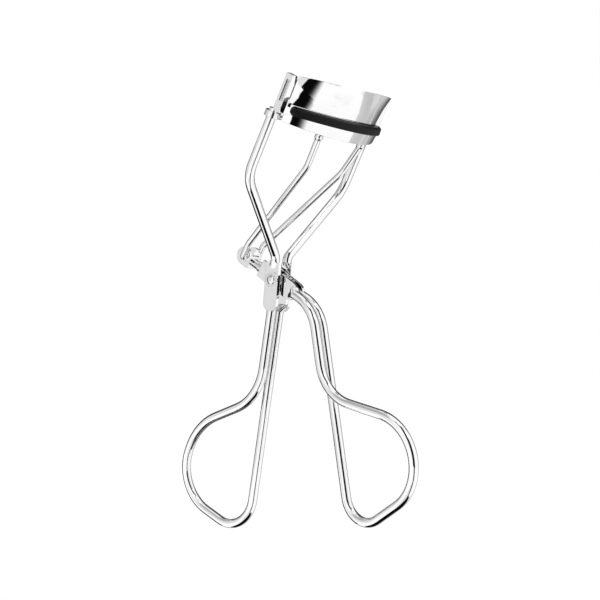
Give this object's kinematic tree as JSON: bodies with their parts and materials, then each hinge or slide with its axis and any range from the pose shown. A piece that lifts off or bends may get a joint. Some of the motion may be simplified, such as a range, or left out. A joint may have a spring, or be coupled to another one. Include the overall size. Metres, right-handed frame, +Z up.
{
  "type": "eyelash curler",
  "caption": "Hand-held eyelash curler: wire frame and lever with finger loops, curved upper jaw, sliding lower jaw with a silicone pad, push rod yoke.",
  "frame": {"origin": "middle of the rivet that joins the frame and the lever", "axes": "+X along the rivet, the curler's width; +Z up the straight guides towards the jaws; -Y towards the bulge of the jaws and the lever's finger loop"},
  "size_m": [0.0364, 0.0698, 0.1093],
  "materials": {
    "bright_chrome": "mirror-bright plated wire",
    "rod_chrome": "mirror-bright plated thin wire",
    "jaw_chrome": "mirror-bright plated sheet",
    "rivet_steel": "polished turned metal",
    "washer_steel": "plain steel",
    "black_silicone": "satin moulded silicone"
  },
  "bodies": {
    "frame": {"frame_wire": "bright_chrome", "upper_jaw_plate": "jaw_chrome", "pivot_rivet": "rivet_steel", "rivet_washer_front": "rivet_steel", "rivet_washer_back": "rivet_steel", "friction_washer_front": "washer_steel", "friction_washer_back": "washer_steel"},
    "lever": {"lever_wire": "bright_chrome", "pivot_spacer": "washer_steel", "lever_bridge": "washer_steel", "swivel_post": "rivet_steel", "post_washer_inner": "rivet_steel", "post_washer_outer": "rivet_steel", "clevis": "jaw_chrome"},
    "push_rod": {"push_rod": "rod_chrome", "ball_collar_left": "rivet_steel", "ball_collar_right": "rivet_steel"},
    "jaw": {"lower_jaw_bar": "jaw_chrome", "silicone_pad": "black_silicone", "guide_bush_left": "rivet_steel", "guide_bush_right": "rivet_steel"}
  },
  "joints": [
    {"name": "lever_pivot", "type": "hinge", "parent": "frame", "child": "lever", "pos_m": [0, 0, 0], "axis": [1, 0, 0], "range_deg": [-36, 0]},
    {"name": "rod_swing", "type": "hinge", "parent": "lever", "child": "push_rod", "pos_m": [0, 0.011, 0.0003], "axis": [1, 0, 0], "range_deg": [-1, 33]},
    {"name": "jaw_slide", "type": "slide", "parent": "frame", "child": "jaw", "axis": [0, 0, 1], "range_m": [-0.0057, 0]}
  ],
  "couplings": [
    {"joint": "rod_swing", "follows": "lever_pivot", "ratio": -0.8925},
    {"joint": "jaw_slide", "follows": "lever_pivot", "m_per_rad": 0.008897}
  ]
}
